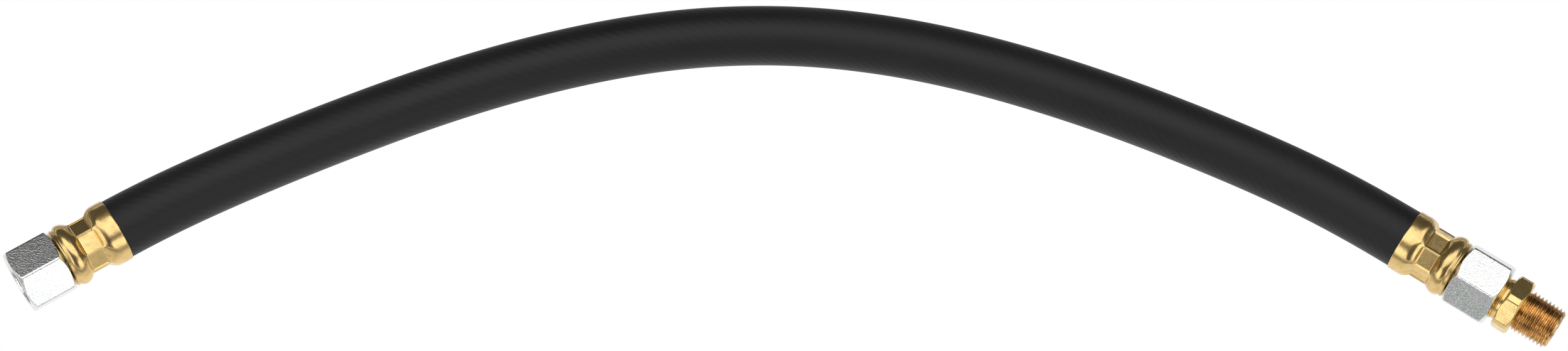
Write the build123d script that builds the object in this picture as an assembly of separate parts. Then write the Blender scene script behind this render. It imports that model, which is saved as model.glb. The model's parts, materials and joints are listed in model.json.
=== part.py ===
from build123d import *
import os
from math import asin, cos, degrees, pi, radians, sin, tan

# Hydraulic hose assembly: a curved quarter-inch rubber hose lying on a surface, with a crimped
# swivel-nut fitting on each end and a brass adapter screwed into the nut of end B.
# Millimetres, +Z up, origin under the middle of the assembly on the surface it lies on.

# --- Hose ------------------------------------------------------------------------------------
# Layer radii from the bore outwards: tube, inner braid, friction layer, outer braid, cover
HOSE_RADII = (3.175, 4.6, 5.1, 5.3, 5.8, 7.15)
HOSE_LAYERS = ("hose_inner_tube", "hose_braid_inner", "hose_friction_layer",
               "hose_braid_outer", "hose_cover")
HOSE_BORE_R = HOSE_RADII[0]
HOSE_R = HOSE_RADII[-1]

# Route of the hose's centre line from ferrule A to ferrule B, corner by corner
ROUTE = (
    (-153.3, -24.0, 7.5),
    (-143.8, -16.7, 7.5),
    (-116.2, 0.0, 7.3),
    (-81.5, 18.2, 7.2),
    (-51.0, 30.0, 7.2),
    (-23.3, 36.6, 7.2),
    (5.3, 38.3, 7.2),
    (36.5, 34.4, 7.2),
    (71.6, 24.1, 7.25),
    (108.0, 8.9, 7.4),
    (130.8, -3.3, 7.6),
    (142.4, -11.2, 7.6),
)
ARC_SHARE = 0.45          # share of the shorter run that each arc may take

# --- Ferrule: stations along its axis, outwards from its mouth ----------------------------------
SKIRT_R = 7.5
SKIRT_LEN = 3.8
BAND_START, BAND_END = 5.4, 9.05
BAND_APOTHEM = 5.9        # crimp flats
BAND_RIDGE_R = 6.6        # ridges squeezed up between the crimp jaws
JAW_COUNT = 8
JAW_WIDTH = 4.5
BULGE_R = 7.45
BULGE_START, BULGE_END = 11.0, 12.65
FERRULE_LEN = 13.65
LIP_R = 6.75
MOUTH_CHAMFER = 0.3

# --- Crimped end of the hose inside the ferrule ---------------------------------------------------
CRIMPED_HOSE_R = 5.1
HOSE_END_R = 6.12
HOSE_TAIL = ((0.0, HOSE_R), (3.1, HOSE_R), (4.9, CRIMPED_HOSE_R), (9.2, CRIMPED_HOSE_R),
             (9.9, HOSE_END_R), (10.35, HOSE_END_R))
HOSE_CUT = HOSE_TAIL[-1][0]

# --- Stem: hose insert, locking groove, neck and seat head ----------------------------------------
STEM_BORE_R = 2.2
STEM_START = 1.0
BARB_DEPTH = 0.25
BARB_PITCH = 2.2
BARB_COUNT = 4
FLANGE_START = 10.4
GROOVE_START, GROOVE_END = 11.05, 12.55
GROOVE_R = 3.2
NECK_R = 3.52
HEAD_START, HEAD_END = 16.0, 18.35
HEAD_R = 4.6
SEAT_R = 4.15             # mouth of the 37 degree seat cone
SEAT_ANGLE = 37.0

# --- Swivel nut: 7/16-20 UNF internal thread, 9/16 in across flats ------------------------------
NUT_START, NUT_END = 14.0, 24.75
NUT_APOTHEM = 14.2875 / 2
NUT_CORNER_R = 8.05       # corners turned off by the end chamfers
NUT_CHAMFER = 0.75
NUT_NECK_BORE_R = 3.6
NUT_SHOULDER = 15.85      # inner face that the seat head pulls against
THREAD_PITCH = 1.27
NUT_MINOR_R = 4.92
NUT_MAJOR_R = 5.62
NUT_POCKET_R = 4.7        # pocket that the seat head turns in
NUT_POCKET_END = 18.55
NUT_LAND_END = 19.65      # plain bore from the pocket to the first thread
NUT_THREAD_TURNS = 3.8
NUT_COUNTERSINK_R = 5.75

# --- Adapter: 37 degree nose, 7/16-20 UNF thread, hex and 1/8-27 NPT thread ----------------------
ADAPTER_BORE_R = 2.3
NOSE_GAP = 0.08           # between the nose cone and its seat
NOSE_START, NOSE_END = 16.65, 18.65
NOSE_R = 4.3
MALE_ROOT_R, MALE_CREST_R = 4.72, 5.46
MALE_ROOT_START, MALE_ROOT_END = 19.2, 25.3
MALE_THREAD_START = 1.05  # its first turn stays clear of the nut's plain bore
MALE_THREAD_TURNS = 3.5
COLLAR_R = 5.1
HEX_START, HEX_END = 26.3, 30.25
HEX_APOTHEM = 6.35
HEX_CORNER_R = 6.95
HEX_CHAMFER = 0.55
NPT_PITCH = 25.4 / 27
NPT_START, NPT_END = 30.9, 39.3
NPT_CREST_R = 5.2         # at the hex end
NPT_DEPTH = 0.66
NPT_TAPER = 1 / 32        # loss of radius per unit of length
NPT_TURNS = 8.05
NPT_RELIEF_R = 4.35
NPT_TIP_CHAMFER = 0.8

# --- Turn of each piece about its own axis, from its reference corner straight up, in degrees ----
CRIMP_TURN_A, CRIMP_TURN_B = 17.5, 0.3
NUT_TURN_A, NUT_TURN_B = 2.5, 8.0
ADAPTER_TURN = -6.7

THREAD_SEAM_TURN = 25.0   # keeps a thread's start away from the seam of its cylinder
THREAD_SINK = 0.15        # how far a thread's ridge is rooted in its cylinder
THREAD_START = 0.65       # from a thread's shoulder to the middle of its first turn's start
END_STOCK = 1.6           # extra length that a threaded end is cut back from


def turned(*outline):
    """Solid of revolution about Z from (z, r) corners given in order around the section."""
    section = make_face(Polyline(*[(r, 0, z) for z, r in outline], close=True))
    return revolve(section, Axis.Z)


def rod(radius, start, end):
    """Cylinder about Z from one height to another."""
    return Pos(0, 0, start) * Cylinder(radius, end - start, align=(Align.CENTER, Align.CENTER, Align.MIN))


def chamfered_envelope(radius, start, end, chamfer_len, chamfer_depth):
    """Round bar with both ends turned down to a cone, for cutting a hexagon's corners."""
    return turned((start, 0), (start, radius - chamfer_depth), (start + chamfer_len, radius),
                  (end - chamfer_len, radius), (end, radius - chamfer_depth), (end, 0))


def hexagon(apothem, start, end):
    """Hexagonal bar about Z with one flat facing +X."""
    outline = RegularPolygon(apothem, 6, major_radius=False, rotation=30)
    return Pos(0, 0, start) * extrude(outline, end - start)


def thread_ridge(pitch, turns, radius, depth, root_width, crest_width, taper=0.0):
    """Right-hand helical ridge from height 0. A negative depth points it inwards."""
    helix = Helix(pitch, pitch * turns, radius, cone_angle=taper)
    start = helix @ 0
    section_plane = Plane(origin=start, x_dir=Vector(start.X, start.Y, 0), z_dir=helix % 0)
    sink = -THREAD_SINK if depth > 0 else THREAD_SINK
    sunk_width = root_width + (root_width - crest_width) * THREAD_SINK / abs(depth)
    section = Polygon((sink, -sunk_width / 2), (depth, -crest_width / 2), (depth, crest_width / 2),
                      (sink, sunk_width / 2), align=None)
    return sweep(section_plane * section, path=helix, is_frenet=True)


def hose_tail(inner_r, outer_r):
    """Crimped end of one hose layer, inside the ferrule."""
    def squeezed(radius, station_r):
        share = (radius - HOSE_BORE_R) / (HOSE_R - HOSE_BORE_R)
        return HOSE_BORE_R + share * (station_r - HOSE_BORE_R)
    outer = [(z, squeezed(outer_r, r)) for z, r in HOSE_TAIL]
    inner = [(z, squeezed(inner_r, r)) for z, r in reversed(HOSE_TAIL)]
    return turned(*outer, *inner)


def crimp_jaw():
    """Space swept by one crimping jaw: a sloped-ended block outside the +X flat."""
    outside = BULGE_R + 1
    section = Plane.XZ * Polygon((BAND_APOTHEM, BAND_START), (SKIRT_R, SKIRT_LEN), (outside, SKIRT_LEN),
                                 (outside, BULGE_START), (BULGE_R - 0.25, BULGE_START),
                                 (BAND_APOTHEM, BAND_END), align=None)
    return extrude(section, JAW_WIDTH / 2, both=True)


def ferrule(turn):
    """Crimped brass shell over the hose end, with its web locked in the stem's groove."""
    skin = [(0, HOSE_R), (0, SKIRT_R - MOUTH_CHAMFER), (MOUTH_CHAMFER, SKIRT_R), (SKIRT_LEN, SKIRT_R),
            (BAND_START, BAND_RIDGE_R), (BAND_END, BAND_RIDGE_R), (BULGE_START, BULGE_R),
            (BULGE_END, BULGE_R), (FERRULE_LEN, LIP_R)]
    lining = [(FERRULE_LEN, LIP_R - 0.9), (GROOVE_END, LIP_R - 1.4), (GROOVE_END, GROOVE_R),
              (GROOVE_START, GROOVE_R), (GROOVE_START, HOSE_END_R)]
    body = turned(*skin, *lining, *reversed(HOSE_TAIL[1:]))
    jaws = [Rot(0, 0, turn + i * 360 / JAW_COUNT) * crimp_jaw() for i in range(JAW_COUNT)]
    return body - jaws


def stem():
    """Hose insert with barb grooves, locking groove, neck and the head with its seat cone."""
    barbs = []
    for i in range(BARB_COUNT):
        z = STEM_START + 1.6 + i * BARB_PITCH
        barbs += [(z, HOSE_BORE_R), (z + 0.1, HOSE_BORE_R - BARB_DEPTH), (z + 1.1, HOSE_BORE_R)]
    seat_depth = (SEAT_R - STEM_BORE_R) / tan(radians(SEAT_ANGLE))
    return turned(
        (STEM_START, STEM_BORE_R), (STEM_START, STEM_BORE_R + 0.4), (STEM_START + 1.0, HOSE_BORE_R), *barbs,
        (FLANGE_START, HOSE_BORE_R), (FLANGE_START, NECK_R), (GROOVE_START, NECK_R),
        (GROOVE_START, GROOVE_R), (GROOVE_END, GROOVE_R), (GROOVE_END, NECK_R),
        (HEAD_START, NECK_R), (HEAD_START, HEAD_R), (HEAD_END - 0.3, HEAD_R), (HEAD_END, HEAD_R - 0.3),
        (HEAD_END, SEAT_R), (HEAD_END - seat_depth, STEM_BORE_R))


def swivel_nut(turn):
    """Hexagonal nut with a neck bore behind and a real internal thread in front."""
    body = Rot(0, 0, turn) * hexagon(NUT_APOTHEM, NUT_START, NUT_END + END_STOCK)
    body -= rod(NUT_NECK_BORE_R, NUT_START - 1, NUT_SHOULDER + 1)
    body -= rod(NUT_POCKET_R, NUT_SHOULDER, NUT_POCKET_END)
    body -= rod(NUT_MINOR_R, NUT_POCKET_END, NUT_LAND_END)
    body -= Rot(0, 0, THREAD_SEAM_TURN) * rod(NUT_MAJOR_R, NUT_LAND_END, NUT_END + END_STOCK)
    ridge = thread_ridge(THREAD_PITCH, NUT_THREAD_TURNS, NUT_MAJOR_R, NUT_MINOR_R - NUT_MAJOR_R, 1.06, 0.26)
    body += Pos(0, 0, NUT_LAND_END + THREAD_START) * ridge
    body &= chamfered_envelope(NUT_CORNER_R, NUT_START, NUT_END, NUT_CHAMFER, NUT_CHAMFER * 1.5)
    mouth = Cone(NUT_MINOR_R - 0.1, NUT_COUNTERSINK_R, NUT_COUNTERSINK_R - NUT_MINOR_R + 0.1,
                 align=(Align.CENTER, Align.CENTER, Align.MAX))
    return body - Pos(0, 0, NUT_END) * mouth


def adapter(turn, thread_turn):
    """Brass adapter: nose cone, straight thread, hex and tapered pipe thread on one bore."""
    cone_slope = tan(radians(SEAT_ANGLE))
    gap = NOSE_GAP / cos(radians(SEAT_ANGLE))

    def nose_r(z):
        return SEAT_R - gap - (HEAD_END - z) * cone_slope

    front = turned((NOSE_START, 0), (NOSE_START, nose_r(NOSE_START)), (NOSE_END, NOSE_R),
                   (MALE_ROOT_START - 0.3, NOSE_R), (MALE_ROOT_START, MALE_ROOT_R),
                   (MALE_ROOT_END, MALE_ROOT_R), (MALE_ROOT_END, COLLAR_R), (HEX_START + 0.5, COLLAR_R),
                   (HEX_START + 0.5, 0))
    ridge = thread_ridge(THREAD_PITCH, MALE_THREAD_TURNS, MALE_ROOT_R, MALE_CREST_R - MALE_ROOT_R, 1.0, 0.2)
    front = Rot(0, 0, THREAD_SEAM_TURN + 90) * front
    front += Pos(0, 0, MALE_ROOT_START + MALE_THREAD_START) * (Rot(0, 0, thread_turn) * ridge)

    root_r = NPT_CREST_R - NPT_DEPTH
    back = turned((HEX_END - 0.5, 0), (HEX_END - 0.5, NPT_RELIEF_R), (NPT_START - 0.25, NPT_RELIEF_R),
                  (NPT_START, root_r), (NPT_END, root_r - (NPT_END - NPT_START) * NPT_TAPER), (NPT_END, 0))
    taper_angle = -degrees(asin(NPT_TAPER))
    ridge = thread_ridge(NPT_PITCH, NPT_TURNS, root_r, NPT_DEPTH, 0.86, 0.16, taper_angle)
    back = Rot(0, 0, THREAD_SEAM_TURN) * back
    back += Pos(0, 0, NPT_START + 0.5) * ridge
    tip_r = NPT_CREST_R - (NPT_END - NPT_START) * NPT_TAPER
    back &= turned((HEX_END - 1, 0), (HEX_END - 1, NPT_CREST_R + 1), (NPT_END - 3, NPT_CREST_R + 1),
                   (NPT_END - NPT_TIP_CHAMFER, tip_r + 0.05), (NPT_END, tip_r - NPT_TIP_CHAMFER),
                   (NPT_END, 0))

    hex_bar = hexagon(HEX_APOTHEM, HEX_START, HEX_END)
    hex_bar &= chamfered_envelope(HEX_CORNER_R, HEX_START, HEX_END, HEX_CHAMFER, HEX_CHAMFER * 1.3)
    body = Rot(0, 0, turn) * hex_bar + front + back
    return body - rod(ADAPTER_BORE_R, NOSE_START - 1, NPT_END + 1)


def end_frame(end_point, next_point):
    """Fitting frame: origin at the ferrule's mouth, +Z out of the hose, +X up."""
    outwards = Vector(*end_point) - Vector(*next_point)
    return Plane(origin=Vector(*end_point), x_dir=(0, 0, 1), z_dir=outwards).location


def hose_path():
    """Straight runs joined by tangent arcs, each as large as its two runs allow."""
    points = [Vector(*p) for p in ROUTE]
    radii = []
    for before, corner, after in zip(points, points[1:], points[2:]):
        half_turn = radians((corner - before).get_angle(after - corner)) / 2
        shorter = min((corner - before).length, (after - corner).length)
        radii.append(ARC_SHARE * shorter / tan(half_turn))
    print("arc radii", [round(r, 1) for r in radii])
    return FilletPolyline(*points, radius=radii)


def hose_layers(frame_a, frame_b):
    """The five bonded layers, each one tube along the route with a crimped tail in each ferrule."""
    path = hose_path()
    start = Plane(origin=path @ 0, z_dir=path % 0)
    layers = {}
    for name, inner_r, outer_r in zip(HOSE_LAYERS, HOSE_RADII, HOSE_RADII[1:]):
        ring = start * (Circle(outer_r) - Circle(inner_r))
        tube = sweep(ring, path=path)
        expected = pi * (outer_r ** 2 - inner_r ** 2) * path.length
        print(name, "tube volume", round(tube.volume, 1), "section x length", round(expected, 1))
        tail = hose_tail(inner_r, outer_r)
        layers[name] = tube + frame_a * tail + frame_b * tail
    print("hose centre line", round(path.length, 2))
    return layers


def assembly():
    frame_a = end_frame(ROUTE[0], ROUTE[1])
    frame_b = end_frame(ROUTE[-1], ROUTE[-2])
    male_start, nut_start = MALE_ROOT_START + MALE_THREAD_START, NUT_LAND_END + THREAD_START
    turns_apart = (male_start - nut_start) / THREAD_PITCH - 0.5
    male_phase = 360 * (turns_apart % 1)      # sets each ridge midway between the nut's
    nodes = hose_layers(frame_a, frame_b)
    nodes["ferrule_a"] = frame_a * ferrule(CRIMP_TURN_A)
    nodes["ferrule_b"] = frame_b * ferrule(CRIMP_TURN_B)
    nodes["stem_a"] = frame_a * stem()
    nodes["stem_b"] = frame_b * stem()
    nodes["swivel_nut_a"] = frame_a * swivel_nut(NUT_TURN_A)
    nodes["swivel_nut_b"] = frame_b * swivel_nut(NUT_TURN_B)
    nodes["adapter"] = frame_b * adapter(ADAPTER_TURN, male_phase)
    return nodes


os.makedirs("parts", exist_ok=True)
everything = assembly()
for node, solid in everything.items():
    export_step(solid, f"parts/{node}.step")
    print(node, len(solid.solids()), round(solid.volume, 1), solid.is_valid)
print("box", Compound(list(everything.values())).bounding_box())
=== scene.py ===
"""Hydraulic hose assembly: a black rubber hose with crimped brass ferrules, plated swivel nuts and
a brass pipe adapter, lying on a pale floor under soft studio light.

Fitting pieces are worked out in each fitting's own frame, in millimetres: the origin is at the
ferrule's mouth, +Z points out of the hose and +X points up.
"""
import json
from math import cos, pi, radians, sin, tan

import bpy
import numpy as np
from mathutils import Matrix, Vector

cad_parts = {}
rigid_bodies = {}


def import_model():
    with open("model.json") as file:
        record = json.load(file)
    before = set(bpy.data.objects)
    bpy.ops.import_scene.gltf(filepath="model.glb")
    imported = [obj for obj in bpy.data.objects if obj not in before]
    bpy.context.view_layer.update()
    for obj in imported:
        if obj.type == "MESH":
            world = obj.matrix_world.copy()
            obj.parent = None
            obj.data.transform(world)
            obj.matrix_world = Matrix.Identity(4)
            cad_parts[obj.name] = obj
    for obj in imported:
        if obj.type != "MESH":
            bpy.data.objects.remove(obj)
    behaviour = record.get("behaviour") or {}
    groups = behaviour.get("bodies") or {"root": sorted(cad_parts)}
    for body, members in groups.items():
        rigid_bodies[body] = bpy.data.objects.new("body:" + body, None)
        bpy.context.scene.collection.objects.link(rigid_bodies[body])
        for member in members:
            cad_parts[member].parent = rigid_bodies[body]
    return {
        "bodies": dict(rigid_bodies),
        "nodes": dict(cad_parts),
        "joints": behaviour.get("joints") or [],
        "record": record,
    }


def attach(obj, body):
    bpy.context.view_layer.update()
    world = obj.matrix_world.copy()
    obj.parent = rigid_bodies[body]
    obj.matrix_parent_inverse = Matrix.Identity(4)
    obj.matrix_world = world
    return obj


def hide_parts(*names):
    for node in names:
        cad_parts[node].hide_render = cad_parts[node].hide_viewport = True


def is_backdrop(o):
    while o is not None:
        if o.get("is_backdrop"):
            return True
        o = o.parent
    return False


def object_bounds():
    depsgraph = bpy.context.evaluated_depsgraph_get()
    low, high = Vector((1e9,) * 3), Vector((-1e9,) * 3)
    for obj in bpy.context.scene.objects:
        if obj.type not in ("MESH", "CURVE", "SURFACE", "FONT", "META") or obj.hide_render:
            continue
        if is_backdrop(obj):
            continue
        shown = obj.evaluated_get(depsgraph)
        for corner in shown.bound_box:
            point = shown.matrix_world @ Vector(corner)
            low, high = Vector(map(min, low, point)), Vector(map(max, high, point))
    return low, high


MM = 0.001

# --- Hose ---------------------------------------------------------------------------------------
# Route of the hose's centre line from ferrule A to ferrule B
ROUTE = (
    (-0.1533, -0.0240, 0.0075),
    (-0.1438, -0.0167, 0.0075),
    (-0.1162, 0.0000, 0.0073),
    (-0.0815, 0.0182, 0.0072),
    (-0.0510, 0.0300, 0.0072),
    (-0.0233, 0.0366, 0.0072),
    (0.0053, 0.0383, 0.0072),
    (0.0365, 0.0344, 0.0072),
    (0.0716, 0.0241, 0.00725),
    (0.1080, 0.0089, 0.0074),
    (0.1308, -0.0033, 0.0076),
    (0.1424, -0.0112, 0.0076),
)
HOSE_R = 7.15
HOSE_TUCK = 3.0               # how far the cover runs on inside each ferrule
HOSE_SIDES = 96
ROUTE_STEPS = 32              # curve samples for each route point

# --- Fittings, the sizes of the CAD model ---------------------------------------------------------
NUT_START, NUT_END = 14.0, 24.75
NUT_APOTHEM = 14.2875 / 2
NUT_CORNER_R = 8.05
NUT_CHAMFER_DEPTH, NUT_CHAMFER_LEN = 1.1, 0.75
NUT_EDGE_DROP, NUT_EDGE_LEN = 0.10, 0.14      # rolled edge at each end
NUT_ROUNDING = 0.12           # softness where the flats meet the chamfers
NUT_NECK_BORE_R = 3.6
NUT_SHOULDER = 15.85
NUT_POCKET_R, NUT_POCKET_END = 4.7, 18.55
NUT_LAND_END = 19.65
NUT_MINOR_R, NUT_MAJOR_R = 4.92, 5.62
THREAD_PITCH = 1.27
THREAD_START = 0.65
SEAT_R, SEAT_PLANE, SEAT_ANGLE = 4.15, 18.35, radians(37)
NOSE_GAP = 0.08
NOSE_START, NOSE_END, NOSE_R = 16.65, 18.65, 4.3
MALE_ROOT_R, MALE_CREST_R = 4.72, 5.46
MALE_ROOT_START, MALE_ROOT_END = 19.2, 25.3
MALE_THREAD_START = 1.05
COLLAR_R = 5.1
HEX_START, HEX_END = 26.3, 30.25
HEX_APOTHEM, HEX_CORNER_R = 6.35, 6.95
HEX_CHAMFER_DEPTH, HEX_CHAMFER_LEN = 0.715, 0.55
HEX_ROUNDING = 0.09
NPT_PITCH = 25.4 / 27
NPT_START, NPT_END = 30.9, 39.3
NPT_CREST_R, NPT_DEPTH, NPT_TAPER = 5.2, 0.66, 1 / 32
NPT_RELIEF_R = 4.35
ADAPTER_BORE_R = 2.3

CRIMP_TURN_A, CRIMP_TURN_B = radians(17.5), radians(0.3)
NUT_TURN_A, NUT_TURN_B = radians(2.5), radians(8)
ADAPTER_TURN = radians(-6.7)

# --- Camera ---------------------------------------------------------------------------------------
VIEW_ELEVATION = radians(59)
VIEW_ROLL = radians(2.6)
VIEW_DISTANCE = 0.63
VIEW_AIM = (-0.0015, 0.0030)  # from the middle of the box, on the floor
VIEW_LENS, VIEW_SENSOR = 61.26, 36.0


# ==================================================================================================
# Frames and meshes
# ==================================================================================================
def fitting_frame(mouth, inner):
    """Matrix from a fitting's frame, in millimetres, to the object's frame, in metres."""
    out = (Vector(mouth) - Vector(inner)).normalized()
    up = Vector((0, 0, 1))
    side = out.cross(up)
    turn = Matrix((up, side, out)).transposed().to_4x4()
    return Matrix.Translation(mouth) @ turn @ Matrix.Scale(MM, 4)


def link(name, verts, faces, uvs=None):
    """A smooth-shaded mesh object, with sharp edges where its faces meet steeply."""
    mesh = bpy.data.meshes.new(name)
    mesh.from_pydata(verts, [], faces)
    if uvs is not None:
        layer = mesh.uv_layers.new(name="UVMap")
        loops = np.empty(len(mesh.loops), dtype=np.int32)
        mesh.loops.foreach_get("vertex_index", loops)
        layer.data.foreach_set("uv", np.asarray(uvs, dtype=np.float32)[loops].ravel())
    mesh.validate()
    mesh.shade_smooth()
    mesh.set_sharp_from_angle(angle=radians(38))
    piece = bpy.data.objects.new(name, mesh)
    bpy.context.scene.collection.objects.link(piece)
    return piece


def ring_faces(rings, sides, closed):
    """Quads between neighbouring rings of vertices. closed joins the last ring to the first."""
    faces = []
    for i in range(rings if closed else rings - 1):
        low, high = i * sides, (i + 1) % rings * sides
        for j in range(sides):
            k = (j + 1) % sides
            faces.append((low + j, low + k, high + k, high + j))
    return faces


def turned_piece(name, frame, angles, stations):
    """Closed piece around the fitting's axis. Each station is (height, radii), one radius or an array
    over the angles, and the stations go round the section: outside towards +Z, then back inside.
    U of its UV map is the height in metres and V the share of a turn."""
    verts, uvs = [], []
    for z, r in stations:
        radii = np.broadcast_to(r, angles.shape)
        verts += [frame @ Vector((ri * cos(a), ri * sin(a), z)) for a, ri in zip(angles, radii)]
        uvs += [(z * MM, a / (2 * pi)) for a in angles]
    return link(name, verts, ring_faces(len(stations), len(angles), closed=True), uvs)


def soft_min(a, b, width):
    """The smaller of two values, rounded over where they cross."""
    blend = np.clip(0.5 + 0.5 * (b - a) / width, 0, 1)
    return b * (1 - blend) + a * blend - width * blend * (1 - blend)


def facet_offset(angles, count, turn):
    """Angle from the middle of the nearest of the facets around an axis."""
    step = 2 * pi / count
    return (angles - turn + step / 2) % step - step / 2


def corner_angles(count, turn, per_facet):
    """Angles around an axis that crowd towards the corners between facets."""
    step = 2 * pi / count
    t = np.linspace(-1, 1, per_facet, endpoint=False)
    inside = np.sin(t * pi / 2) * 0.75 + t * 0.25
    return np.concatenate([turn + step * (i + inside / 2) for i in range(count)])


def spaced(*spans):
    """Heights from (start, end, step) spans, without repeats."""
    heights = [np.linspace(a, b, max(2, int(round(abs(b - a) / step)) + 1)) for a, b, step in spans]
    return [float(z) for i, part in enumerate(heights) for z in (part if i == 0 else part[1:])]


def thread_wave(z, angles, pitch, start_z, phase, crest_share, root_share):
    """0 on a right-hand thread's crest and 1 at its root, with straight flanks."""
    along = ((z - start_z) / pitch - (angles - phase) / (2 * pi)) % 1.0
    off_crest = np.minimum(along, 1 - along) * 2
    flank = np.clip((off_crest - crest_share) / (1 - crest_share - root_share), 0, 1)
    return flank * flank * (3 - 2 * flank) * 0.35 + flank * 0.65


# ==================================================================================================
# Node helpers
# ==================================================================================================
class Nodes:
    """A material's node tree with short calls for the nodes that the finishes share."""

    def __init__(self, name):
        self.material = bpy.data.materials.new(name)
        self.material.use_nodes = True
        self.tree = self.material.node_tree
        self.shader = self.tree.nodes["Principled BSDF"]
        self.coords = self.tree.nodes.new("ShaderNodeTexCoord")

    def add(self, kind, inputs=None, **props):
        node = self.tree.nodes.new(kind)
        for key, value in props.items():
            setattr(node, key, value)
        for key, value in (inputs or {}).items():
            if isinstance(value, bpy.types.NodeSocket):
                self.tree.links.new(value, node.inputs[key])
            else:
                node.inputs[key].default_value = value
        return node

    def noise(self, vector, scale, detail=4.0, roughness=0.55, distortion=0.0):
        node = self.add("ShaderNodeTexNoise", {"Vector": vector, "Scale": scale, "Detail": detail,
                                               "Roughness": roughness, "Distortion": distortion})
        return node.outputs["Fac"]

    def stretch(self, vector, scale, turn=(0, 0, 0)):
        node = self.add("ShaderNodeMapping", {"Vector": vector, "Scale": scale, "Rotation": turn})
        return node.outputs["Vector"]

    def ramp(self, value, *stops):
        node = self.add("ShaderNodeValToRGB", {"Fac": value})
        while len(node.color_ramp.elements) < len(stops):
            node.color_ramp.elements.new(0.5)
        for element, (place, colour) in zip(node.color_ramp.elements, stops):
            element.position = place
            element.color = (*colour, 1) if len(colour) == 3 else colour
        return node.outputs["Color"]

    def remap(self, value, low, high, new_low, new_high):
        node = self.add("ShaderNodeMapRange", {"Value": value, "From Min": low, "From Max": high,
                                               "To Min": new_low, "To Max": new_high})
        return node.outputs["Result"]

    def mix(self, factor, a, b, blend="MIX"):
        node = self.add("ShaderNodeMix", data_type="RGBA", blend_type=blend)
        for socket, value in ((node.inputs[0], factor), (node.inputs[6], a), (node.inputs[7], b)):
            if isinstance(value, bpy.types.NodeSocket):
                self.tree.links.new(value, socket)
            else:
                socket.default_value = (*value, 1) if isinstance(value, tuple) else value
        return node.outputs[2]

    def math(self, kind, a, b=0.0):
        return self.add("ShaderNodeMath", {0: a, 1: b}, operation=kind).outputs[0]

    def bump(self, height, strength, distance, normal=None):
        inputs = {"Height": height, "Strength": strength, "Distance": distance}
        if normal is not None:
            inputs["Normal"] = normal
        return self.add("ShaderNodeBump", inputs).outputs["Normal"]

    def set(self, **values):
        for key, value in values.items():
            socket = self.shader.inputs[key.replace("_", " ")]
            if isinstance(value, bpy.types.NodeSocket):
                self.tree.links.new(value, socket)
            else:
                socket.default_value = (*value, 1) if isinstance(value, tuple) else value
        return self.material


# ==================================================================================================
# Finishes
# ==================================================================================================
def cover_rubber():
    """Satin black rubber with the faint spiral marks of the cloth it was cured in. U runs along the
    hose in metres and V around it in metres."""
    n = Nodes("cover_rubber")
    uv = n.coords.outputs["UV"]
    broad = n.noise(n.stretch(uv, (18, 60, 1)), 1.0, 3.0)
    fine = n.noise(uv, 2600, 3.0, 0.6)
    wrap = n.stretch(uv, (1, 1, 1), (0, 0, radians(52)))
    weave = n.add("ShaderNodeTexWave", {"Vector": wrap, "Scale": 190.0, "Distortion": 1.2, "Detail": 2.0,
                                        "Detail Scale": 2.0}).outputs["Fac"]
    dust = n.ramp(n.noise(uv, 900, 5.0, 0.7), (0.62, (0, 0, 0)), (0.78, (1, 1, 1)))
    colour = n.ramp(broad, (0.3, (0.005, 0.005, 0.0055)), (0.7, (0.011, 0.011, 0.0115)))
    colour = n.mix(n.math("MULTIPLY", dust, 0.12), colour, (0.05, 0.05, 0.05))
    rough = n.remap(broad, 0.3, 0.7, 0.42, 0.56)
    rough = n.math("ADD", rough, n.math("MULTIPLY", fine, 0.08))
    normal = n.bump(weave, 0.25, 0.00008)
    normal = n.bump(fine, 0.35, 0.00004, normal)
    return n.set(Base_Color=colour, Roughness=rough, Normal=normal, Specular_IOR_Level=0.38,
                 Sheen_Weight=0.08, Sheen_Roughness=0.35)


STAIN_AND_SHADE_BLEND = 0.0004          # metres over which the stain and the painted groove shade set in


def brass(name, bright, dark, rough, grain_scale, grain_depth, stain_and_painted_shade=None):
    """Brass with slow colour drift, brown tarnish in patches and fine handling marks. The last argument,
    when given, holds the height, in metres along its fitting, from which a piece takes a darker orange
    tone, and that tone's colour: partly a sealant stain, partly painted shade for the light deepening in
    the thread's grooves. That part has less grain and broader dark stain patches."""
    n = Nodes(name)
    where = n.coords.outputs["Object"]
    drift = n.noise(where, 220, 3.0)
    tarnish = n.ramp(n.noise(where, 520, 6.0, 0.65), (0.45, (0, 0, 0)), (0.75, (1, 1, 1)))
    grain = n.noise(where, grain_scale, 3.0, 0.6)
    colour = n.ramp(drift, (0.3, bright), (0.75, tuple(0.9 * c for c in bright)))
    grain_strength = 0.4
    if stain_and_painted_shade is not None:
        # Painted shade: from the given height on, the colour turns darker orange, partly a stain and partly
        # standing for the light deepening in the thread's grooves
        along = n.add("ShaderNodeSeparateXYZ", {"Vector": n.coords.outputs["UV"]}).outputs["X"]
        start, end = stain_and_painted_shade[0], stain_and_painted_shade[0] + STAIN_AND_SHADE_BLEND
        share = n.remap(along, start, end, 0, 1)
        colour = n.mix(share, colour, stain_and_painted_shade[1])
        grain_strength = n.remap(along, start, end, 0.4, 0.1)
        patches = n.remap(n.noise(where, 300, 2.0), 0.44, 0.58, 0, 0.6)
        patches = n.math("MULTIPLY", patches, share)
        colour = n.mix(patches, colour, dark)
    colour = n.mix(n.math("MULTIPLY", tarnish, 0.45), colour, dark)
    roughness = n.remap(tarnish, 0, 1, rough, rough + 0.12)
    roughness = n.math("ADD", roughness, n.math("MULTIPLY", grain, 0.06))
    normal = n.bump(grain, grain_strength, grain_depth)
    return n.set(Base_Color=colour, Metallic=1.0, Roughness=roughness, Normal=normal)


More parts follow.
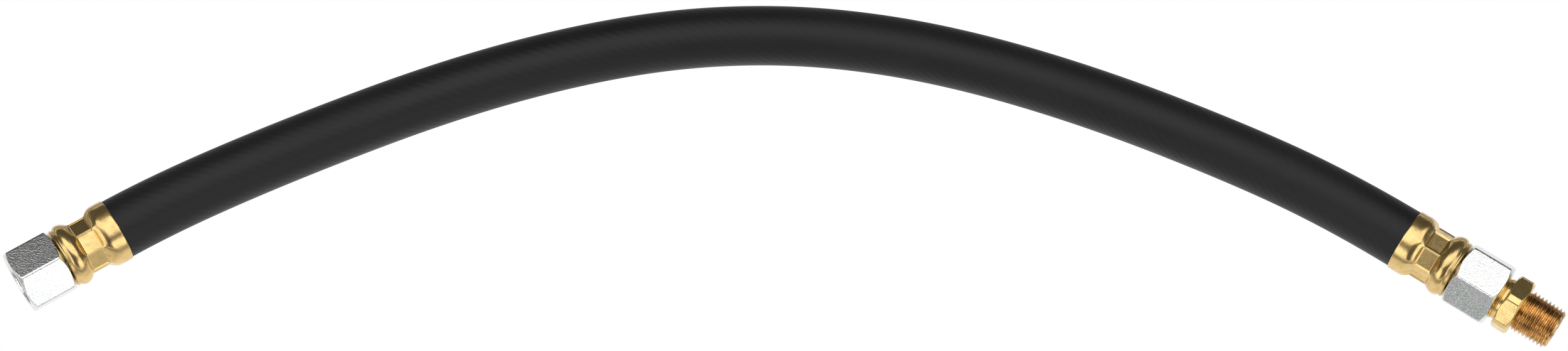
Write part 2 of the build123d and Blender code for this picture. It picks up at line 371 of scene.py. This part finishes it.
def plated_steel():
    """Zinc plate over forged steel: bright, with an orange-peel grain and faint passivation tints."""
    n = Nodes("plated_steel")
    where = n.coords.outputs["Object"]
    peel = n.noise(where, 3000, 2.0, 0.6)
    pits = n.ramp(n.noise(where, 4200, 2.0, 0.5), (0.36, (0.84, 0.85, 0.85)), (0.5, (1, 1, 1)))
    tint = n.ramp(n.noise(where, 160, 2.0), (0.35, (0.84, 0.86, 0.83)), (0.5, (0.86, 0.85, 0.86)),
                  (0.62, (0.81, 0.86, 0.83)))
    roughness = n.remap(peel, 0.3, 0.7, 0.15, 0.22)
    colour = n.mix(1.0, tint, pits, "MULTIPLY")
    return n.set(Base_Color=colour, Metallic=1.0, Roughness=roughness, Normal=n.bump(peel, 1.0, 0.00005))


def inner_rubber():
    """Smooth black nitrile rubber of the tube and the friction layer."""
    n = Nodes("inner_rubber")
    grain = n.noise(n.coords.outputs["Object"], 1500, 3.0)
    colour = n.ramp(grain, (0.3, (0.008, 0.008, 0.009)), (0.7, (0.016, 0.016, 0.017)))
    roughness = n.remap(grain, 0.3, 0.7, 0.4, 0.5)
    return n.set(Base_Color=colour, Roughness=roughness, Normal=n.bump(grain, 0.3, 0.00003))


def braid_yarn():
    """Off-white polyester yarn in two crossing directions, with painted shade between the strands."""
    n = Nodes("braid")
    where = n.coords.outputs["Object"]
    lays = [n.stretch(where, (1, 1, 1), (0, 0, radians(turn))) for turn in (54, -54)]
    waves = [n.add("ShaderNodeTexWave", {"Vector": lay, "Scale": 260.0, "Distortion": 0.6}) for lay in lays]
    height = n.math("MAXIMUM", *(wave.outputs["Fac"] for wave in waves))
    # Painted shade: darker where the weave is low, between the strands
    colour = n.ramp(height, (0.2, (0.22, 0.2, 0.16)), (0.9, (0.62, 0.6, 0.52)))
    return n.set(Base_Color=colour, Roughness=0.85, Normal=n.bump(height, 0.6, 0.0002))


# ==================================================================================================
# Pieces
# ==================================================================================================
def route_line():
    """Points on the hose's smooth centre line, in metres, read from the route's NURBS curve."""
    curve = bpy.data.curves.new("hose_route", "CURVE")
    curve.dimensions = "3D"
    spline = curve.splines.new("NURBS")
    spline.points.add(len(ROUTE) - 1)
    for point, place in zip(spline.points, ROUTE):
        point.co = (*place, 1)
    spline.order_u = 3
    spline.use_endpoint_u = True
    spline.resolution_u = ROUTE_STEPS
    holder = bpy.data.objects.new("hose_route", curve)
    mesh = bpy.data.meshes.new_from_object(holder)
    line = [v.co.copy() for v in mesh.vertices]
    bpy.data.objects.remove(holder)
    bpy.data.curves.remove(curve)
    bpy.data.meshes.remove(mesh)
    return line


def hose_cover(material):
    """Rubber cover as a tube along the route, tucked a little way into both ferrules."""
    line = route_line()
    tuck = HOSE_TUCK * MM
    first = line[0] + (line[0] - line[1]).normalized() * tuck
    last = line[-1] + (line[-1] - line[-2]).normalized() * tuck
    path = [first, *line, last]
    verts, uvs = [], []
    travelled = 0.0
    for i, centre in enumerate(path):
        before, after = path[max(i - 1, 0)], path[min(i + 1, len(path) - 1)]
        ahead = (after - before).normalized()
        side = Vector((0, 0, 1)).cross(ahead).normalized()
        up = ahead.cross(side)
        if i:
            travelled += (centre - path[i - 1]).length
        for j in range(HOSE_SIDES):
            a = 2 * pi * j / HOSE_SIDES
            verts.append(centre + (side * cos(a) + up * sin(a)) * HOSE_R * MM)
            uvs.append((travelled, a * HOSE_R * MM))
    faces = ring_faces(len(path), HOSE_SIDES, closed=False)
    faces.append(tuple(reversed(range(HOSE_SIDES))))
    faces.append(tuple(range((len(path) - 1) * HOSE_SIDES, len(path) * HOSE_SIDES)))
    hose = link("hose_cover_rubber", verts, faces, uvs)
    hose.data.materials.append(material)
    return hose, path


FERRULE_LEN = 13.65
# Round form of the ferrule before crimping: (z, r) along its outside
FERRULE_PROFILE = ((0.0, 7.36), (0.12, 7.46), (3.1, 7.5), (3.8, 7.4), (4.5, 7.05), (5.2, 6.62), (9.2, 6.6),
                   (9.6, 6.72), (10.1, 7.02), (10.7, 7.32), (11.4, 7.47), (11.95, 7.42), (12.4, 7.24),
                   (12.75, 6.92), (13.0, 6.86), (13.2, 7.02), (13.47, 7.0), (13.61, 6.84), (13.65, 6.6))
# Distance of the crimp flats from the axis: (z, apothem)
CRIMP_PROFILE = ((0.0, 8.2), (1.8, 7.9), (3.0, 7.55), (3.8, 7.2), (4.5, 6.72), (5.2, 5.94), (9.2, 5.94),
                 (9.6, 6.5), (10.1, 7.1), (10.7, 7.6), (11.5, 8.0), (13.65, 8.3))
CRIMP_START, CRIMP_END = 5.1, 9.3
CRIMP_RIDGE = 0.2             # height of the ridges squeezed up between the flats
CRIMP_DISH = 0.11             # depth of the print that each jaw leaves in its flat
RIDGE_WIDTH = 0.15
PRINT_INSET = 0.32            # from a flat's edge to the edge of its print
PRINT_EDGE = 0.12             # width of the step into the print
BAND_FADE = 0.3               # length over which ridges and edges change at the ends of the band
BAND_ROUNDING, SHELL_ROUNDING = 0.16, 0.34    # softness of the edges in the band and beside it
SMOOTH_REACH = 0.22           # how far along the axis the profiles are averaged


def smooth_profile(points, heights):
    """Rounded curve through profile points, by averaging a linear interpolation along the axis."""
    z = np.array([p[0] for p in points])
    r = np.array([p[1] for p in points])
    reach = np.linspace(-SMOOTH_REACH, SMOOTH_REACH, 9)
    weights = np.cos(reach / SMOOTH_REACH * pi / 2) ** 2 + 0.05
    total = sum(w * np.interp(np.clip(heights + d, z[0], z[-1]), z, r) for d, w in zip(reach, weights))
    return total / weights.sum()


def ferrule_shell(name, frame, turn, material):
    """Crimped shell: eight dished jaw flats with thin ridges between, skirt, bulge and rolled lip."""
    angles = corner_angles(8, turn, 44)
    offset = facet_offset(angles, 8, turn)
    heights = np.array(spaced((0, 0.3, 0.06), (0.3, 3.9, 0.18), (3.9, 10.0, 0.09), (10.0, 12.4, 0.14),
                              (12.4, FERRULE_LEN, 0.06)))
    round_r = smooth_profile(FERRULE_PROFILE, heights)
    flat_r = smooth_profile(CRIMP_PROFILE, heights)
    stations = []
    for z, rr, fr in zip(heights, round_r, flat_r):
        facets = fr / np.cos(offset)
        across = np.abs(offset) * fr
        corner = fr * tan(pi / 8)
        inside_band = min(z - CRIMP_START, CRIMP_END - z)
        near_band = float(np.clip(inside_band / BAND_FADE + 1, 0, 1))
        rounding = SHELL_ROUNDING + (BAND_ROUNDING - SHELL_ROUNDING) * near_band
        ridge = CRIMP_RIDGE * np.exp(-((corner - across) / RIDGE_WIDTH) ** 2)
        ridge = ridge * np.clip(inside_band / BAND_FADE, 0, 1)
        print_edge = np.clip((corner - PRINT_INSET - across) / PRINT_EDGE, 0, 1)
        dish = CRIMP_DISH * np.clip((inside_band - 0.2) / PRINT_EDGE, 0, 1) * print_edge
        stations.append((z, soft_min(rr, facets, rounding) + ridge - dish))
    inside = ((13.65, 6.4), (13.55, 5.9), (13.15, 5.5), (12.6, 5.3), (12.55, 3.25), (11.1, 3.25),
              (11.05, 6.1), (10.0, 6.1), (9.3, 5.0), (4.9, 5.0), (3.2, 7.17), (0.0, 7.17))
    shell = turned_piece(name, frame, angles, stations + list(inside))
    shell.data.materials.append(material)
    return shell


def chamfer_cap(z, start, end, corner_r, depth, length):
    """Largest radius that a bar's turned end chamfers leave at a height."""
    near = min(z - start, end - z)
    return min(corner_r, corner_r - depth + near * depth / length)


def swivel_nut(name, frame, turn, material):
    """Plated hexagon nut with turned chamfers, rolled edges and a real thread inside."""
    angles = corner_angles(6, turn, 44)
    offset = facet_offset(angles, 6, turn)
    hexagon = NUT_APOTHEM / np.cos(offset)
    stations = []
    outside = spaced((NUT_START, NUT_START + 1.1, 0.06), (NUT_START + 1.1, NUT_END - 1.1, 0.6),
                     (NUT_END - 1.1, NUT_END, 0.06))
    for z in outside:
        cap = chamfer_cap(z, NUT_START, NUT_END, NUT_CORNER_R + 0.1, NUT_CHAMFER_DEPTH, NUT_CHAMFER_LEN)
        edge = NUT_EDGE_DROP * (1 - np.clip(min(z - NUT_START, NUT_END - z) / NUT_EDGE_LEN, 0, 1)) ** 2
        stations.append((z, soft_min(hexagon, cap, NUT_ROUNDING) - edge))
    stations.append((NUT_END, 6.2))
    stations.append((NUT_END, 5.85))
    thread_z = NUT_LAND_END + THREAD_START
    for z in spaced((NUT_END - 0.05, NUT_LAND_END, 0.07)):
        wave = thread_wave(z, angles, THREAD_PITCH, thread_z, 0.0, 0.20, 0.16)
        mouth = NUT_MINOR_R + max(0.0, z - (NUT_END - 0.83))
        bore = NUT_MINOR_R + (NUT_MAJOR_R - NUT_MINOR_R) * wave
        stations.append((z, np.maximum(bore, mouth)))
    stations += [(NUT_LAND_END - 0.05, NUT_MINOR_R), (NUT_POCKET_END, NUT_MINOR_R),
                 (NUT_POCKET_END - 0.02, NUT_POCKET_R), (NUT_SHOULDER, NUT_POCKET_R),
                 (NUT_SHOULDER, NUT_NECK_BORE_R), (NUT_START + 0.3, NUT_NECK_BORE_R),
                 (NUT_START, NUT_NECK_BORE_R + 0.3), (NUT_START, 6.2)]
    nut = turned_piece(name, frame, angles, stations)
    nut.data.materials.append(material)
    return nut


def adapter_piece(frame, material):
    """Nose cone, straight thread, collar, hexagon and tapered pipe thread on one bore."""
    angles = corner_angles(6, ADAPTER_TURN, 40)
    offset = facet_offset(angles, 6, ADAPTER_TURN)
    gap = NOSE_GAP / cos(SEAT_ANGLE)
    nose_r = SEAT_R - gap - (SEAT_PLANE - NOSE_START) * tan(SEAT_ANGLE)
    stations = [(NOSE_START, nose_r), (NOSE_END, NOSE_R), (MALE_ROOT_START - 0.3, NOSE_R)]

    male_start, nut_start = MALE_ROOT_START + MALE_THREAD_START, NUT_LAND_END + THREAD_START
    phase = 2 * pi * (((male_start - nut_start) / THREAD_PITCH - 0.5) % 1)
    for z in spaced((MALE_ROOT_START - 0.2, MALE_ROOT_END + 0.45, 0.07)):
        wave = thread_wave(z, angles, THREAD_PITCH, male_start, phase, 0.16, 0.2)
        thread = MALE_CREST_R - (MALE_CREST_R - MALE_ROOT_R) * wave
        lead = MALE_ROOT_R + max(0.0, z - NUT_LAND_END) * 1.2
        fade = np.clip((z - MALE_ROOT_END + 0.35) / 0.7, 0, 1)
        stations.append((z, np.minimum(thread, lead) * (1 - fade) + COLLAR_R * fade))
    stations += [(MALE_ROOT_END + 0.7, COLLAR_R), (HEX_START - 0.05, COLLAR_R), (HEX_START, COLLAR_R + 0.1)]

    hexagon = HEX_APOTHEM / np.cos(offset)
    for z in spaced((HEX_START, HEX_START + 0.9, 0.06), (HEX_START + 0.9, HEX_END - 0.9, 0.4),
                    (HEX_END - 0.9, HEX_END, 0.06)):
        cap = chamfer_cap(z, HEX_START, HEX_END, HEX_CORNER_R, HEX_CHAMFER_DEPTH, HEX_CHAMFER_LEN)
        stations.append((z, soft_min(hexagon, cap, HEX_ROUNDING)))
    stations += [(HEX_END, NPT_RELIEF_R + 0.15), (HEX_END + 0.1, NPT_RELIEF_R)]

    for z in spaced((HEX_END + 0.2, NPT_END - 0.02, 0.055)):
        crest = NPT_CREST_R - (z - NPT_START) * NPT_TAPER
        wave = thread_wave(z, angles, NPT_PITCH, NPT_START + THREAD_START - 0.15, 0.0, 0.1, 0.08)
        thread = crest - NPT_DEPTH * wave
        run_in = NPT_RELIEF_R + 0.1 + max(0.0, z - HEX_END - 0.25) * 1.5
        tip = crest - 0.8 + (NPT_END - z)
        stations.append((z, np.minimum(np.minimum(thread, run_in), tip)))
    stations += [(NPT_END, NPT_CREST_R - 1.15), (NPT_END, ADAPTER_BORE_R + 0.35),
                 (NPT_END - 0.35, ADAPTER_BORE_R), (NOSE_START + 0.2, ADAPTER_BORE_R),
                 (NOSE_START, ADAPTER_BORE_R + 0.15)]
    piece = turned_piece("adapter_brass", frame, angles, stations)
    piece.data.materials.append(material)
    return piece


# ==================================================================================================
# Stage
# ==================================================================================================
def add_camera(low, high):
    """Camera in front and above, looking at the middle of the assembly on the floor."""
    aim = Vector(((low.x + high.x) / 2 + VIEW_AIM[0], (low.y + high.y) / 2 + VIEW_AIM[1], low.z))
    away = Vector((0, -cos(VIEW_ELEVATION), sin(VIEW_ELEVATION)))
    right = Vector((1, 0, 0))
    up = away.cross(right)
    turned_right = right * cos(VIEW_ROLL) + up * sin(VIEW_ROLL)
    turned_up = up * cos(VIEW_ROLL) - right * sin(VIEW_ROLL)
    data = bpy.data.cameras.new("camera")
    data.lens, data.sensor_width = VIEW_LENS, VIEW_SENSOR
    data.clip_start = 0.01
    camera = bpy.data.objects.new("camera", data)
    camera.matrix_world = Matrix.Translation(aim + away * VIEW_DISTANCE) @ Matrix(
        (turned_right, turned_up, away)).transposed().to_4x4()
    bpy.context.scene.collection.objects.link(camera)
    bpy.context.scene.camera = camera


def add_panel(name, place, aim, size, power, colour=(1, 1, 1)):
    """Rectangular soft light at a place, facing a point."""
    data = bpy.data.lights.new(name, "AREA")
    data.shape = "RECTANGLE"
    data.size, data.size_y = size
    data.energy = power
    data.color = colour
    panel = bpy.data.objects.new(name, data)
    direction = Vector(aim) - Vector(place)
    panel.matrix_world = Matrix.Translation(place) @ direction.to_track_quat("-Z", "Y").to_matrix().to_4x4()
    bpy.context.scene.collection.objects.link(panel)


# Painted reflection: how bright metal mirrors the floor, set by angle with a painted dim band: (place,
# tone), place being 0 straight down and 1 at the horizon
PAINTED_FLOOR_REFLECTION_TONES = ((0.0, 1.0), (0.4, 0.95), (0.6, 0.75), (0.7, 0.15), (0.82, 0.15), (0.91, 1.0))


def add_floor():
    """Glowing white table, plain white to the camera. Metal mirrors painted tones by angle: pale close by,
    a painted dim band further out, and painted bright towards the horizon in place of the walls."""
    verts = [(-3, -3, 0), (3, -3, 0), (3, 3, 0), (-3, 3, 0)]
    floor = link("floor", [Vector(v) for v in verts], [(0, 1, 2, 3)])
    n = Nodes("floor")
    grazing = n.add("ShaderNodeLayerWeight", {"Blend": 0.5}).outputs["Facing"]
    # Painted reflection: the tone that other surfaces mirror, set by the ray's angle to the floor
    painted_reflection_tone = n.ramp(grazing, *((place, (tone, tone, tone)) for place, tone in PAINTED_FLOOR_REFLECTION_TONES))
    camera_ray = n.add("ShaderNodeLightPath").outputs["Is Camera Ray"]
    glow = n.add("ShaderNodeEmission", {"Color": n.mix(camera_ray, painted_reflection_tone, (1.0, 1.0, 1.0))})
    n.tree.links.new(glow.outputs[0], n.tree.nodes["Material Output"].inputs["Surface"])
    n.tree.nodes.remove(n.shader)
    floor.data.materials.append(n.material)
    floor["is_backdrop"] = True


def add_lights():
    """Overhead softbox, a bright wall to either side of the camera and dim surroundings."""
    world = bpy.data.worlds.new("studio")
    bpy.context.scene.world = world
    world.use_nodes = True
    background = world.node_tree.nodes["Background"]
    background.inputs["Color"].default_value = (1, 0.98, 0.95, 1)
    background.inputs["Strength"].default_value = 0.09
    add_panel("overhead", (0, -0.11, 1.0), (0, -0.11, 0), (2.4, 1.0), 11.0)
    for name, side in (("left_wall", -1), ("right_wall", 1)):
        add_panel(name, (0.825 * side, -0.78, 0.35), (0.025 * side, -0.49, 0.35), (1.1, 0.7), 3.8)
    bpy.context.scene.view_settings.view_transform = "Standard"


# ==================================================================================================
# Scene
# ==================================================================================================
def main():
    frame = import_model()
    cad_low, cad_high = (Vector(corner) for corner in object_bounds())
    add_camera(cad_low, cad_high)

    rubber = cover_rubber()
    ferrule_metal = brass("ferrule_brass", (0.84, 0.6, 0.25), (0.36, 0.22, 0.09), 0.2, 1500, 0.00002)
    stem_metal = brass("stem_brass", (0.76, 0.58, 0.28), (0.4, 0.27, 0.12), 0.25, 1500, 0.00003)
    # Pipe thread's darker orange: partly a sealant stain, partly painted shade for the light deepening in
    # its grooves
    pipe_thread = ((HEX_END + 0.1) * MM, (0.85, 0.58, 0.27))
    adapter_metal = brass("adapter_brass", (0.88, 0.64, 0.27), (0.36, 0.2, 0.09), 0.18, 2200, 0.00005,
                          pipe_thread)
    steel = plated_steel()
    inner, yarn = inner_rubber(), braid_yarn()

    frame_a = fitting_frame(ROUTE[0], ROUTE[1])
    frame_b = fitting_frame(ROUTE[-1], ROUTE[-2])
    hose, path = hose_cover(rubber)
    pieces = (
        (hose, "root", "hose_cover", "cover_rubber"),
        (ferrule_shell("ferrule_a_shell", frame_a, CRIMP_TURN_A, ferrule_metal),
         "root", "ferrule_a", "ferrule_brass"),
        (ferrule_shell("ferrule_b_shell", frame_b, CRIMP_TURN_B, ferrule_metal),
         "root", "ferrule_b", "ferrule_brass"),
        (swivel_nut("swivel_nut_a_steel", frame_a, NUT_TURN_A, steel),
         "nut_a", "swivel_nut_a", "plated_steel"),
        (swivel_nut("swivel_nut_b_steel", frame_b, NUT_TURN_B, steel),
         "nut_b", "swivel_nut_b", "plated_steel"),
        (adapter_piece(frame_b, adapter_metal), "adapter", "adapter", "adapter_brass"),
    )
    for piece, body, node, slot in pieces:
        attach(piece, body)
        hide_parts(node)
    carried = {"stem_a": stem_metal, "stem_b": stem_metal, "hose_inner_tube": inner,
               "hose_friction_layer": inner, "hose_braid_inner": yarn, "hose_braid_outer": yarn}
    for node, material in carried.items():
        for material_slot in frame["nodes"][node].material_slots:
            material_slot.material = material

    add_floor()
    add_lights()


main()
